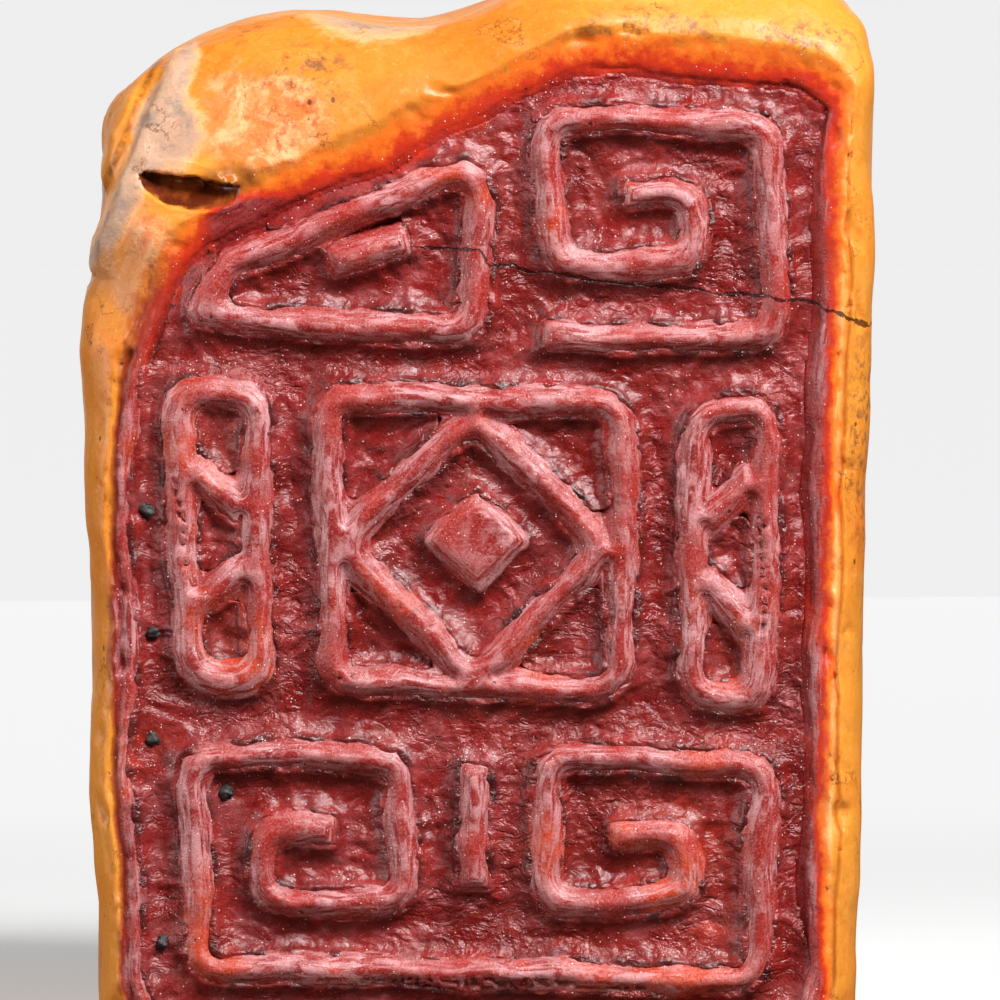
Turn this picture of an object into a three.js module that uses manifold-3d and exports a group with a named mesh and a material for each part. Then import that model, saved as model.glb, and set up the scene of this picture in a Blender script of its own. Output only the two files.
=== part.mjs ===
// A carved stone seal, lying on its narrow side with the engraved face towards -Y.
// Millimetres, +Z up, origin under the middle of the block.
import * as THREE from "three";
import { mergeVertices } from "three/addons/utils/BufferGeometryUtils.js";
import Module from "manifold-3d";

const wasm = await Module();
wasm.setup();

// The block of stone
const stoneWidth = 30.3; // across the widest part of the engraved end
const stoneHeight = 42.1; // from the flat side it lies on to the top
const stoneLength = 58; // from the engraved face to the rounded grip end
const trunkStart = 9.6; // how far behind the face the trunk's own shape begins
const trunkSwell = 0.2; // how far the trunk stands out beyond the engraved end's outline
const broadWave = 0.2; // height of the long waves in the polished natural skin
const broadWaveLength = 50; // along the stone, from crest to crest
const shortWave = 0.13;
const shortWaveLength = 38;
const gripRounding = 21; // length over which the grip end closes
const gripFlat = 0.3; // share of the section left at the very end
const domeFullness = 2.4; // 2 closes the grip end as an ellipse, more makes it blunter
const edgeRounding = 1.15; // how far the face's outline stands in from the side on a plain edge
const edgeSetback = 2.4; // how far back that worn edge takes to reach the side
const ridgeSharpness = 0.22; // share of a quarter turn left out at the face, which leaves a ridge

// The engraving
const rimWidth = 0.5; // flat border left round the engraving
const reliefDepth = 1.05; // how deep the ground is cut
const strokeWidth = 1; // raised line, across its flat top
const strokeDraft = 0.25; // how far a cut wall leans out on its way down
const strokeRoot = 0.4; // how far a line's body goes on down into the stone
const bendRadius = 1.1; // the lines' corners, along their middle
const rimChannel = 1.15; // ground between the border and the outer lines
const lineDroop = 0.042; // slope by which the highest rows fall towards the right
const footDroop = 0.013; // the same for the lowest row
const handWobble = 0.12; // how far a crossing lies off its true place
const studClearance = 1.75; // from the lozenge's line to the stud, across their flat tops
const tipTuck = 0.4; // how far the lozenge's tips stay inside the middle of the panel's frame
const strutTuck = 0.32; // how far a strut's ends stay inside the middle of its bar's sides
const wedgeBarRise = 1.45; // from the wedge's base line up to the bar in it, across their flat tops
const wedgeBarEnd = 2; // from the bar's free end to the wedge's right side, across their flat tops

// The dried seal paste and the crumbs of old ink
const pasteThickness = 0.3;
const pasteGap = 0.28; // bare strip between a cake of paste and the wall beside it
const crumbWidth = 0.75;
const crumbHeight = 0.45;

// The hollow in the broken shoulder, and the lobe behind it
const hollowSize = new THREE.Vector3(3.9, 4.4, 1.7);
const hollowPlace = new THREE.Vector3(-11.06, 0.9, 33.93); // Y from the face, like the lobe's
const hollowTilt = 0.16; // radians about Y, like the lobe's
const lobeSize = new THREE.Vector3(4.6, 10.4, 5);
const lobePlace = new THREE.Vector3(-12.42, 9.5, 35.79);
const lobeTilt = 0.3;

// The section's outline seen from the engraved end: share of the half width, share of the height,
// and how many times the plain rounding the worn edge takes there. It runs clockwise from the foot.
const footShare = 0.955;
const topWear = 2.4;
const sectionPoints = [
  [0, 0, 1],
  [-0.6, 0, 1],
  [-0.87, 0, 1],
  [-0.945, 0.035, 1],
  [-footShare, 0.16, 1],
  [-0.975, 0.36, 1],
  [-0.995, 0.6, 1.3],
  [-1, 0.69, 1.8],
  [-0.965, 0.765, 2.2],
  [-0.955, 0.83, 3.4],
  [-0.915, 0.885, 4.5],
  [-0.8, 0.925, 4.9],
  [-0.6, 0.955, 5],
  [-0.35, 0.965, 4.6],
  [-0.15, 0.958, 3.4],
  [0.05, 0.978, 3],
  [0.3, 1, 2.5],
  [0.62, 1, 2.55],
  [0.86, 0.99, topWear],
  [0.96, 0.965, 1.9],
  [1, 0.93, 1],
  [1, 0.8, 1],
  [0.985, 0.6, 1],
  [0.975, 0.35, 1],
  [footShare, 0.12, 1],
  [0.945, 0.035, 1],
  [0.87, 0, 1],
  [0.6, 0, 1],
];

// How finely curves are stepped
const sectionSteps = 76;
const edgeSteps = 5;
const trunkSteps = 15;
const trunkCrowding = 1.5; // above 1, the steps lie closer together towards the grip end
const bendSteps = 3;
const sharpestBend = 0.12;

const faceY = -stoneLength / 2;
const halfWidth = stoneWidth / 2;
const halfHeight = stoneHeight / 2;
const strokeFoot = strokeWidth / 2 + strokeDraft; // half of a line's width at the ground

const section = new THREE.CatmullRomCurve3(
  sectionPoints.map(([x, z, wear]) => new THREE.Vector3(x * halfWidth, z * stoneHeight, wear)),
  true,
  "centripetal",
).getSpacedPoints(sectionSteps);
section.pop();

// The section drawn in: by the wear at each place times `worn`, and by `plain` all round.
function drawnIn(worn, plain = 0) {
  return section.map((point) => {
    const inset = worn * edgeRounding * point.z + plain;
    return new THREE.Vector2(
      point.x * (1 - inset / halfWidth),
      halfHeight + (Math.max(0, point.y) - halfHeight) * (1 - inset / halfHeight),
    );
  });
}

// The engraved end's worn edge: rings round an arc, from the flat face out to the full section.
function edgeRings() {
  const start = (ridgeSharpness * Math.PI) / 2;
  return Array.from({ length: edgeSteps }, (_, k) => {
    const turn = start + ((Math.PI / 2 - start) * k) / (edgeSteps - 1);
    const out = (Math.sin(turn) - Math.sin(start)) / (1 - Math.sin(start));
    const back = (edgeSetback * (Math.cos(start) - Math.cos(turn))) / Math.cos(start);
    return drawnIn(1 - out).map(
      (p, i) => new THREE.Vector3(p.x, faceY + back * Math.sqrt(section[i].z), p.y),
    );
  });
}

// The trunk and the grip end: the section, swollen and waved a little, then closing to a blunt dome.
function trunkRings() {
  const start = faceY + trunkStart;
  const end = stoneLength / 2;
  return Array.from({ length: trunkSteps }, (_, k) => {
    const along = k / (trunkSteps - 1);
    const y = end - (end - start) * Math.pow(1 - along, trunkCrowding);
    const closing = Math.max(0, (y - (end - gripRounding)) / gripRounding);
    const dome = Math.pow(1 - Math.pow(closing, domeFullness), 1 / domeFullness);
    const size = gripFlat + (1 - gripFlat) * dome;
    return section.map((point) => {
      const arm = new THREE.Vector2(point.x, point.y - halfHeight);
      const [broadPhase, shortPhase] = [broadWaveLength, shortWaveLength].map((l) => (2 * Math.PI * y) / l);
      const wave =
        broadWave * Math.sin(2 * arm.angle() + broadPhase) +
        shortWave * Math.sin(3 * arm.angle() - shortPhase);
      const stand = (trunkSwell + wave) * Math.min(1, 4 * along);
      arm.setLength((arm.length() + stand) * size);
      return new THREE.Vector3(arm.x, y, Math.max(0, halfHeight + arm.y));
    });
  });
}

// A closed skin over rings of equally many points, with a fan over each end.
function loft(rings) {
  const around = rings[0].length;
  const points = rings.flat();
  const fanCentre = (ring) =>
    ring.reduce((sum, p) => sum.add(p), new THREE.Vector3()).divideScalar(around);
  points.push(fanCentre(rings[0]), fanCentre(rings[rings.length - 1]));
  const index = [];
  for (let i = 0; i < around; i++) {
    const next = (i + 1) % around;
    for (let k = 0; k + 1 < rings.length; k++) {
      const [a, b] = [k * around + i, k * around + next];
      index.push(a, b, a + around, b, b + around, a + around);
    }
    const last = (rings.length - 1) * around;
    index.push(points.length - 2, next, i, points.length - 1, last + i, last + next);
  }
  const geometry = new THREE.BufferGeometry();
  geometry.setFromPoints(points);
  geometry.setIndex(index);
  return geometry;
}

// A geometry as a solid that can be joined and cut.
function solid(geometry) {
  const bare = new THREE.BufferGeometry();
  bare.setAttribute("position", geometry.getAttribute("position"));
  if (geometry.index) bare.setIndex(geometry.index);
  const merged = mergeVertices(bare, 1e-4);
  return new wasm.Manifold(
    new wasm.Mesh({
      numProp: 3,
      vertProperties: new Float32Array(merged.attributes.position.array),
      triVerts: new Uint32Array(merged.index.array),
    }),
  );
}

// A solid back as a named mesh.
function mesh(name, made, material) {
  const { vertProperties, triVerts } = made.getMesh();
  const geometry = new THREE.BufferGeometry();
  geometry.setAttribute("position", new THREE.BufferAttribute(vertProperties, 3));
  geometry.setIndex(new THREE.BufferAttribute(triVerts, 1));
  geometry.computeVertexNormals();
  const named = new THREE.Mesh(geometry, material);
  named.name = name;
  return named;
}

// Engraving work is drawn flat, in X and Z, with the face at zero and the stone below it,
// and then turned up to face -Y.
function onFace(geometry) {
  return solid(geometry.rotateX(Math.PI / 2).translate(0, faceY, 0));
}

// A straight-sided solid on an outline, from one level below the face to another.
function upright(shape, low, high) {
  const geometry = new THREE.ExtrudeGeometry(shape, { depth: high - low, bevelEnabled: false });
  return onFace(geometry.translate(0, 0, low));
}

const through = (shape) => upright(shape, -2 * reliefDepth, reliefDepth);

// The lattice that the carver laid out: 9 upright and 13 level lines, spreading as the stone does.
const lastColumn = 8;
const lastRow = 12;
const borderInset = rimWidth + strokeDraft + rimChannel + strokeFoot;
const footHalf = footShare * halfWidth - edgeRounding - borderInset;
const spread = (1 - footShare) * halfWidth;
const lowRow = edgeRounding + borderInset;
const highRow = stoneHeight - topWear * edgeRounding - borderInset;
const columnPitch = (2 * footHalf) / lastColumn;
const rowPitch = (highRow - lowRow) / lastRow;

function crossing([column, row]) {
  const rise = row / lastRow;
  const x = (footHalf + spread * Math.min(1, 1.4 * rise)) * ((2 * column) / lastColumn - 1);
  const z = lowRow + (highRow - lowRow) * rise - (footDroop + (lineDroop - footDroop) * rise) * x;
  return new THREE.Vector2(
    x + handWobble * Math.sin(1.7 * column + 2.3 * row),
    z + handWobble * Math.sin(2.1 * column - 1.3 * row + 0.7),
  );
}

// One side of a line through `points`, at a distance to the right of its run, its corners rounded
// about the line's own bends, and left sharp on the inside of a bend tighter than that distance.
// An open line is also made longer at its ends.
function lineSide(points, closed, distance, beyond) {
  const count = points.length;
  const corners = points.map((point, i) => {
    const before = closed || i > 0 ? points[(i + count - 1) % count] : null;
    const after = closed || i < count - 1 ? points[(i + 1) % count] : null;
    const step = (from, to) => to.clone().sub(from).normalize();
    const into = before ? step(before, point) : step(point, after);
    const out = after ? step(point, after) : into;
    const mitre = into.clone().add(out).normalize();
    const reach = distance / mitre.dot(into);
    const turn = Math.atan2(into.cross(out), into.dot(out));
    const radius = Math.max(0, bendRadius + distance * Math.sign(turn));
    const longer = (after ? 0 : beyond) - (before ? 0 : beyond);
    const sideways = new THREE.Vector2(mitre.y, -mitre.x).multiplyScalar(reach);
    return {
      at: point.clone().add(sideways).addScaledVector(into, longer),
      cut: radius * Math.tan(Math.abs(turn) / 2),
    };
  });
  return corners.flatMap(({ at, cut }, i) => {
    const before = corners[(i + count - 1) % count].at;
    const after = corners[(i + 1) % count].at;
    const room = 0.45 * Math.min(at.distanceTo(before), at.distanceTo(after));
    const cutBack = Math.min(cut, room);
    if (cutBack < sharpestBend) return [at];
    const from = at.clone().lerp(before, cutBack / at.distanceTo(before));
    const to = at.clone().lerp(after, cutBack / at.distanceTo(after));
    return new THREE.QuadraticBezierCurve(from, at, to).getPoints(bendSteps);
  });
}

function lineShape({ at, closed = false }, half, beyond = 0) {
  const points = at.map(crossing);
  const left = lineSide(points, closed, -half, beyond);
  const right = lineSide(points, closed, half, beyond);
  if (!closed) return new THREE.Shape([...left, ...right.reverse()]);
  const area = (loop) => Math.abs(THREE.ShapeUtils.area(loop));
  const [outer, inner] = area(left) > area(right) ? [left, right] : [right, left];
  const shape = new THREE.Shape(outer);
  shape.holes.push(new THREE.Path(inner.reverse()));
  return shape;
}

// The fret, in columns and rows of the lattice: square scrolls below and at the top right, a lozenge
// panel between two lattice bars with slanting struts, and a wedge under the broken shoulder.
const panel = { low: [4, 4], right: [6, 6], high: [4, 8], left: [2, 6] };
const tuckUp = tipTuck / rowPitch;
const tuckAcross = tipTuck / columnPitch;
const lozenge = [[4, 4 + tuckUp], [6 - tuckAcross, 6], [4, 8 - tuckUp], [2 + tuckAcross, 6]];
const struts = [[4.95, 5.65], [7.05, 6.35]];
const wedge = [[0.3, 9], [4, 9], [4, 11.35], [0.75, 9.75]];
const wedgeBarRow = 9 + (strokeWidth + wedgeBarRise) / rowPitch;
const wedgeBarColumn = 4 - (strokeWidth / 2 + wedgeBarEnd) / columnPitch;

function latticeBar(near, far) {
  const tuck = (strutTuck / columnPitch) * (far - near);
  return [
    { at: [[near, 4], [far, 4], [far, 8], [near, 8]], closed: true },
    ...struts.map(([low, high]) => ({ at: [[near + tuck, low], [far - tuck, high]] })),
  ];
}

const lines = [
  {
    at: [[2, 2], [1, 2], [1, 1], [3, 1], [3, 3], [0, 3], [0, 0],
      [8, 0], [8, 3], [5, 3], [5, 1], [7, 1], [7, 2], [6, 2]],
  },
  { at: [[4, 1.2], [4, 3]] },
  { at: [[2, 4], [6, 4], [6, 8], [2, 8]], closed: true },
  { at: lozenge, closed: true },
  ...latticeBar(0, 1),
  ...latticeBar(8, 7),
  { at: wedge, closed: true },
  { at: [[2, wedgeBarRow], [wedgeBarColumn, wedgeBarRow + 0.25]] },
  { at: [[5, 9], [8, 9], [8, 12], [5, 12], [5, 10], [7, 10], [7, 11], [6, 11]] },
];

// The stud in the panel's middle, clear of the lozenge's four lines, grown by a margin all round.
function studShape(margin = 0) {
  const middle = crossing([4, 6]);
  const [low, right, high, left] = lozenge.map(crossing);
  const [tall, wide] = [high.y - low.y, right.x - left.x];
  const lineDistance = (tall * wide) / (2 * Math.hypot(tall, wide));
  const reach = (lineDistance - strokeWidth / 2 - studClearance + margin) * Math.SQRT2;
  const corner = (x, z) => new THREE.Vector2(middle.x + x * reach, middle.y + z * reach);
  return new THREE.Shape([corner(1, 0), corner(0, 1), corner(-1, 0), corner(0, -1)]);
}

// A raised line: its flat top in the face, its walls leaning out to the ground, its root in the stone.
function raised(shape) {
  const geometry = new THREE.ExtrudeGeometry(shape, {
    depth: strokeRoot,
    bevelThickness: reliefDepth,
    bevelSize: strokeDraft,
    bevelSegments: 1,
  });
  return onFace(geometry.translate(0, 0, -strokeRoot - reliefDepth));
}

function recess() {
  const geometry = new THREE.ExtrudeGeometry(new THREE.Shape(drawnIn(1, rimWidth)), {
    depth: reliefDepth,
    bevelThickness: reliefDepth,
    bevelSize: strokeDraft,
    bevelOffset: -strokeDraft,
    bevelSegments: 1,
  });
  return onFace(geometry);
}

function ellipsoid(size, place, tilt) {
  const geometry = new THREE.SphereGeometry(0.5, 20, 12).scale(size.x, size.y, size.z);
  return solid(geometry.rotateY(tilt).translate(place.x, faceY + place.y, place.z));
}

function carvedStone() {
  let stone = solid(loft([...edgeRings(), ...trunkRings()]));
  stone = stone.add(ellipsoid(lobeSize, lobePlace, lobeTilt)).subtract(recess());
  for (const line of lines) stone = stone.add(raised(lineShape(line, strokeWidth / 2)));
  return stone.add(raised(studShape())).subtract(ellipsoid(hollowSize, hollowPlace, hollowTilt));
}

const stoneFinish = new THREE.MeshStandardMaterial({ color: 0xe39a3c, roughness: 0.32, metalness: 0 });
const pasteFinish = new THREE.MeshStandardMaterial({ color: 0x8c2a2c, roughness: 0.35, metalness: 0 });
const inkFinish = new THREE.MeshStandardMaterial({ color: 0x3b3836, roughness: 0.6, metalness: 0 });

const seal = new THREE.Group();
seal.add(mesh("stone_body", carvedStone(), stoneFinish));

// Dried paste covers the ground, short of every wall by the bare strip.
const strip = strokeDraft + pasteGap;
const walls = lines
  .map((line) => lineShape(line, strokeWidth / 2 + strip, strip))
  .concat(studShape(strip))
  .map(through)
  .reduce((all, one) => all.add(one));
const groundOutline = new THREE.Shape(drawnIn(1, rimWidth + strip));
const groundSheet = upright(groundOutline, -reliefDepth, pasteThickness - reliefDepth).subtract(walls);

// Each closed cell of the fret holds a cake of its own.
const cells = {
  paste_panel_corner_low_left: [[2, 4], panel.low, panel.left],
  paste_panel_corner_low_right: [panel.low, [6, 4], panel.right],
  paste_panel_corner_high_right: [panel.right, [6, 8], panel.high],
  paste_panel_corner_high_left: [panel.high, [2, 8], panel.left],
  paste_panel_ring: Object.values(panel),
  paste_wedge: wedge,
};
for (const [side, near, far] of [["left", 0, 1], ["right", 8, 7]]) {
  const levels = [[4, 4], ...struts, [8, 8]];
  ["low", "middle", "high"].forEach((place, k) => {
    const [[nearLow, farLow], [nearHigh, farHigh]] = levels.slice(k, k + 2);
    cells["paste_bar_" + side + "_" + place] = [
      [near, nearLow], [far, farLow], [far, farHigh], [near, nearHigh],
    ];
  });
}
for (const [name, corners] of Object.entries(cells)) {
  const cake = groundSheet.intersect(through(new THREE.Shape(corners.map(crossing))));
  seal.add(mesh(name, cake, pasteFinish));
}

// The open ground between the figures holds one cake that runs all round them.
const closedFigures = lines
  .filter((line) => line.closed)
  .map((line) => through(new THREE.Shape(line.at.map(crossing))))
  .reduce((all, one) => all.add(one));
seal.add(mesh("paste_field", groundSheet.subtract(closedFigures), pasteFinish));

// Crumbs of dried black ink lie on the paste, four along the left channel and one in a scroll.
const channel = (-strokeFoot - rimChannel / 2) / columnPitch;
const crumbPlaces = [[channel, 0.4], [channel, 3.1], [channel, 4.7], [channel, 6.4], [0.5, 2.5]];
crumbPlaces.forEach((place, k) => {
  const { x, y: z } = crossing(place);
  const crumb = new THREE.CylinderGeometry(0.3 * crumbWidth, crumbWidth / 2, crumbHeight, 7);
  crumb.rotateX(Math.PI / 2).rotateZ(k).translate(x, z, pasteThickness - reliefDepth + crumbHeight / 2);
  seal.add(mesh("ink_crumb_" + (k + 1), onFace(crumb), inkFinish));
});

// The origin goes under the middle of the whole seal.
const bounds = new THREE.Box3().setFromObject(seal);
const centre = bounds.getCenter(new THREE.Vector3());
seal.position.set(-centre.x, -centre.y, -bounds.min.z);

export default seal;
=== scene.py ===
import itertools
import math

import bmesh
import bpy
import numpy as np
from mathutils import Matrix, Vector
from mathutils.bvhtree import BVHTree
from mathutils.kdtree import KDTree


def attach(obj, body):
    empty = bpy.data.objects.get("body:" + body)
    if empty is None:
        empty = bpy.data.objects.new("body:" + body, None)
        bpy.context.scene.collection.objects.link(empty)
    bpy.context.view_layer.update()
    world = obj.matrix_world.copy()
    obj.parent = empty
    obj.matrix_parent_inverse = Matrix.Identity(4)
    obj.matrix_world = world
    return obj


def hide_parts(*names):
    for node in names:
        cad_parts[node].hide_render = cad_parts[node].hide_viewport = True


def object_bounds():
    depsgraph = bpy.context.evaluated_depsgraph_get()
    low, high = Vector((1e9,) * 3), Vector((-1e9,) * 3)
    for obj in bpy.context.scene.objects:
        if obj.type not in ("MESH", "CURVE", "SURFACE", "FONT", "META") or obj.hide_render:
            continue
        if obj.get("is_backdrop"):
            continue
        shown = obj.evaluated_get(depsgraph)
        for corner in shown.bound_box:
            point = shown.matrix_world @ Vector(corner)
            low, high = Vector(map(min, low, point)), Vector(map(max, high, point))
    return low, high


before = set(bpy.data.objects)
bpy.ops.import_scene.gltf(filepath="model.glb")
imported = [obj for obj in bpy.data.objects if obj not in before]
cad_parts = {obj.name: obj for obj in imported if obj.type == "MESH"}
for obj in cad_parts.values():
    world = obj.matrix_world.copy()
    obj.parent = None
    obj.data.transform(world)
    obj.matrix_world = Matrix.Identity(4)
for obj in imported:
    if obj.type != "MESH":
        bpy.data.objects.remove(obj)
cad_low, cad_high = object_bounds()

# The stone, its shape.
# One block of soft yellow carving stone in its natural rounded form, polished by hand. The engraved end
# was cut with a knife, so its lines swell, narrow and waver, and their edges are worn round.
per_metre = 1000  # millimetres: the work on shapes is done in millimetres
face_y = -29.0
ground_depth = 1.05  # from the face to the ground between the lines
stone_grain = 0.15  # size of the cells that the stone is worked in
line_rounding = 10  # passes of smoothing, which wear the lines' edges round
trunk_polish = 70  # passes on the trunk, where the polish took every flat away
end_polish = 360  # passes on the grip end, which years of handling rounded most
line_wear = 0.36  # how far the lines' edges are worn below their middle
stone_triangles = 190_000
within_cad = 0.01  # how far inside the CAD model's box the stone stays
engraving_depth = 1.6  # points of the engraving lie no farther than this behind the face
rim_reach = 0.3  # and no farther than this outside its outline


def copied(name, node):
    """A merged copy of a CAD node's mesh, in millimetres, as a new object."""
    shape = bmesh.new()
    shape.from_mesh(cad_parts[node].data)
    bmesh.ops.remove_doubles(shape, verts=shape.verts, dist=1e-7)
    bmesh.ops.scale(shape, vec=Vector((1, 1, 1)) * per_metre, verts=shape.verts)
    mesh = bpy.data.meshes.new(name)
    shape.to_mesh(mesh)
    shape.free()
    piece = bpy.data.objects.new(name, mesh)
    bpy.context.scene.collection.objects.link(piece)
    return piece


def settle(piece):
    """Makes what the piece's modifiers show its own mesh."""
    shown = piece.evaluated_get(bpy.context.evaluated_depsgraph_get())
    mesh = bpy.data.meshes.new_from_object(shown)
    piece.modifiers.clear()
    piece.data = mesh
    piece.data.name = piece.name


def in_cells(piece, size):
    cells = piece.modifiers.new("cells", "REMESH")
    cells.mode = "VOXEL"
    cells.voxel_size = size
    settle(piece)


def thinned(piece, triangles):
    """Joins small triangles where the surface is plain, down to that many."""
    share = triangles / sum(len(p.vertices) - 2 for p in piece.data.polygons)
    if share < 1:
        thinning = piece.modifiers.new("thinning", "DECIMATE")
        thinning.ratio = share
        settle(piece)


def smoothed(piece, passes, group=""):
    smoothing = piece.modifiers.new("smoothing", "SMOOTH")
    smoothing.factor = 0.5
    smoothing.iterations = passes
    smoothing.vertex_group = group


def points_of(piece):
    flat = np.empty(len(piece.data.vertices) * 3, np.float32)
    piece.data.vertices.foreach_get("co", flat)
    return flat.reshape(-1, 3).astype(float)


def normals_of(piece):
    flat = np.empty(len(piece.data.vertices) * 3, np.float32)
    piece.data.vertex_normals.foreach_get("vector", flat)
    return flat.reshape(-1, 3).astype(float)


def put_points(piece, points):
    piece.data.vertices.foreach_set("co", points.astype(np.float32).ravel())
    piece.data.update()


def put_value(piece, name, values):
    """Keeps a number for each point of the mesh, for the material to read."""
    kept = piece.data.attributes.new(name, "FLOAT", "POINT")
    kept.data.foreach_set("value", np.asarray(values, np.float32))


def dress(piece, node, material):
    """Gives the finished piece its material and puts it in its CAD node's place."""
    piece.data.polygons.foreach_set("use_smooth", [True] * len(piece.data.polygons))
    piece.data.materials.clear()
    piece.data.materials.append(material)
    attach(piece, "root")
    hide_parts(node)


def rough(points, size, seed):
    """Smooth noise from -1 to 1, with bumps of about that size in millimetres."""
    draw = np.random.default_rng(seed)
    slopes = draw.normal(size=(16, 16, 16, 3))
    slopes /= np.linalg.norm(slopes, axis=3, keepdims=True)
    grid = np.linalg.qr(draw.normal(size=(3, 3)))[0]  # turned, so that no row of cells shows
    at = points @ grid / size + 11.7
    cell = np.floor(at).astype(int)
    part = at - cell
    ease = part ** 3 * (part * (part * 6 - 15) + 10)
    total = np.zeros(len(points))
    for corner in itertools.product((0, 1), repeat=3):
        share = np.prod(np.where(np.array(corner) == 1, ease, 1 - ease), axis=1)
        i, j, k = ((cell + np.array(corner)) % 16).T
        total += share * np.sum(slopes[i, j, k] * (part - corner), axis=1)
    return np.clip(total * 1.7, -1, 1)


def ridged(points, size, seed):
    """Noise from -1 to 1 that is highest along thin crests."""
    return 1 - np.abs(rough(points, size, seed)) * 2


def step(low, high, value):
    """0 below low, 1 above high and smooth between."""
    share = np.clip((value - low) / (high - low), 0, 1)
    return share * share * (3 - 2 * share)


def on_face(points):
    """The points dropped into the face's plane, so that noise is the same at every depth."""
    return points * np.array([1, 0, 1])


broad_stray = 0.24  # how far the knife strayed from the lattice in its long bends
fine_stray = 0.1  # and in its short ones


def hand_warp(points):
    """How far the knife strayed sideways from the lattice, at each point of the face."""
    flat = on_face(points)
    fade = step(5, 1.5, points[:, 1] - face_y)[:, None]
    across = broad_stray * rough(flat, 4.6, 1) + fine_stray * rough(flat, 1.7, 2)
    up = broad_stray * rough(flat, 4.2, 3) + fine_stray * rough(flat, 1.6, 4)
    return np.stack([across, 0 * across, up], axis=1) * fade


stone = copied("carved_stone", "stone_body")

# The raised lines' flat tops, and how often each edge between their facets is used: once is a border.
in_plane = 0.01  # a facet whose corners all lie this near the face's plane is a top
on_a_top = 1e-4  # and a point in that plane this near to one lies on it
cad_stone = points_of(stone)
behind_tops = np.abs(cad_stone[:, 1] - face_y)
tops = [p for p in stone.data.polygons if np.all(behind_tops[list(p.vertices)] < in_plane)]
edge_uses = {}
for polygon in tops:
    for key in polygon.edge_keys:
        edge_uses[key] = edge_uses.get(key, 0) + 1
borders = [key for key, uses in edge_uses.items() if uses == 1]

# The engraved face's outline, as the distance from its middle in each direction.
face_middle = np.array([0.0, 20.0])
beside_corner = {}
for first, last in borders:
    beside_corner.setdefault(first, []).append(last)
    beside_corner.setdefault(last, []).append(first)
farthest = max(beside_corner, key=lambda corner: np.hypot(*(cad_stone[corner, [0, 2]] - face_middle)))
outline = [farthest, beside_corner[farthest][0]]
while outline[-1] != farthest:
    outline.append(next(corner for corner in beside_corner[outline[-1]] if corner != outline[-2]))
arms = cad_stone[outline[1:]][:, [0, 2]] - face_middle
turns = np.arctan2(arms[:, 1], arms[:, 0])
order = np.argsort(turns)
outline_turns = np.concatenate([turns[order] - 2 * math.pi, turns[order], turns[order] + 2 * math.pi])
outline_reach = np.tile(np.hypot(arms[:, 0], arms[:, 1])[order], 3)
outline_slant = outline_reach / np.hypot(outline_reach, np.gradient(outline_reach, outline_turns))


def turn_of(points):
    return np.arctan2(points[:, 2] - face_middle[1], points[:, 0] - face_middle[0])


def inside_face(points):
    """How far a point lies inside the face's outline, seen from the front: less than 0 outside it."""
    turn = turn_of(points)
    gap = np.interp(turn, outline_turns, outline_reach) - np.hypot(*(points[:, [0, 2]] - face_middle).T)
    return gap * np.interp(turn, outline_turns, outline_slant)


def by_side(points, left, foot, right, top):
    """A value for each side of the face, changing smoothly at its corners."""
    turn = np.degrees(turn_of(points))
    turns = [-180, -142, -122, -58, -38, 35, 58, 140, 158, 180]
    return np.interp(turn, turns, [left, left, foot, foot, right, right, top, top, left, left])


# Points along the lines' edges, without the seams where two lines' tops meet.
top_tree = BVHTree.FromPolygons(cad_stone.tolist(), [p.vertices[:] for p in tops])
edge_points = []
edge_step = 0.1  # from one of these points to the next
just_beside = 0.02
for first, last in borders:
    run = cad_stone[last] - cad_stone[first]
    length = np.linalg.norm(run)
    aside = np.array([-run[2], 0, run[0]]) / length * just_beside
    middle = (cad_stone[last] + cad_stone[first]) / 2
    on_top = [top_tree.find_nearest(middle + way * aside)[3] < on_a_top for way in (-1, 1)]
    if not all(on_top):
        steps = math.ceil(length / edge_step)
        edge_points += [cad_stone[first] + run * i / steps for i in range(steps)]
edge_tree = KDTree(len(edge_points))
for i, place in enumerate(edge_points):
    edge_tree.insert(place, i)
edge_tree.balance()


def into_lines(points):
    """How far a point lies within a raised line's edge, seen from the front: less than 0 beside the line."""
    depths = np.empty(len(points))
    for i, (x, z) in enumerate(points[:, [0, 2]]):
        place = (x, face_y, z)
        side = 1 if top_tree.find_nearest(place)[3] < on_a_top else -1
        depths[i] = side * edge_tree.find(place)[2]
    return depths


slope_right = 1.5  # width of the slope on the right
slope_top = 2  # and at the top
crest_top = 0.5  # how deep the slope's upper end lies at the top


def edge_slope(points):
    """How deep the engraving's edge lies, and where it is a slope: on the right, and at the top, where the
    carver let the ground run out. On the left and at the foot the edge is a steep step, and this is 0."""
    inside = inside_face(points) + 0.07 * rough(on_face(points), 2.6, 16)
    crest = by_side(points, 0, 0, 0.02, crest_top)
    width = by_side(points, 1, 1, slope_right, slope_top)
    depth = crest * step(-1.6, 0.2, inside) + (ground_depth - crest) * np.clip(inside / width, 0, 1) ** 1.2
    return depth, step(0.1, 0.9, by_side(points, 0, 0, 1, 1)) * step(width, width - 0.2, inside)


def mark(piece, name, shares):
    """A vertex group that holds each point with its share, to the nearest eighth."""
    group = piece.vertex_groups.new(name=name)
    for level in range(1, 9):
        share = level / 8
        members = np.flatnonzero(np.abs(shares - share) < 1 / 16)
        group.add(members.tolist(), share, "REPLACE")


in_cells(stone, stone_grain)
behind_face = points_of(stone)[:, 1] - face_y
mark(stone, "trunk", step(2.5, 6, behind_face))
mark(stone, "grip end", step(40, 52, behind_face))
smoothed(stone, line_rounding)
smoothed(stone, trunk_polish, "trunk")
smoothed(stone, end_polish, "grip end")
settle(stone)

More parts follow.
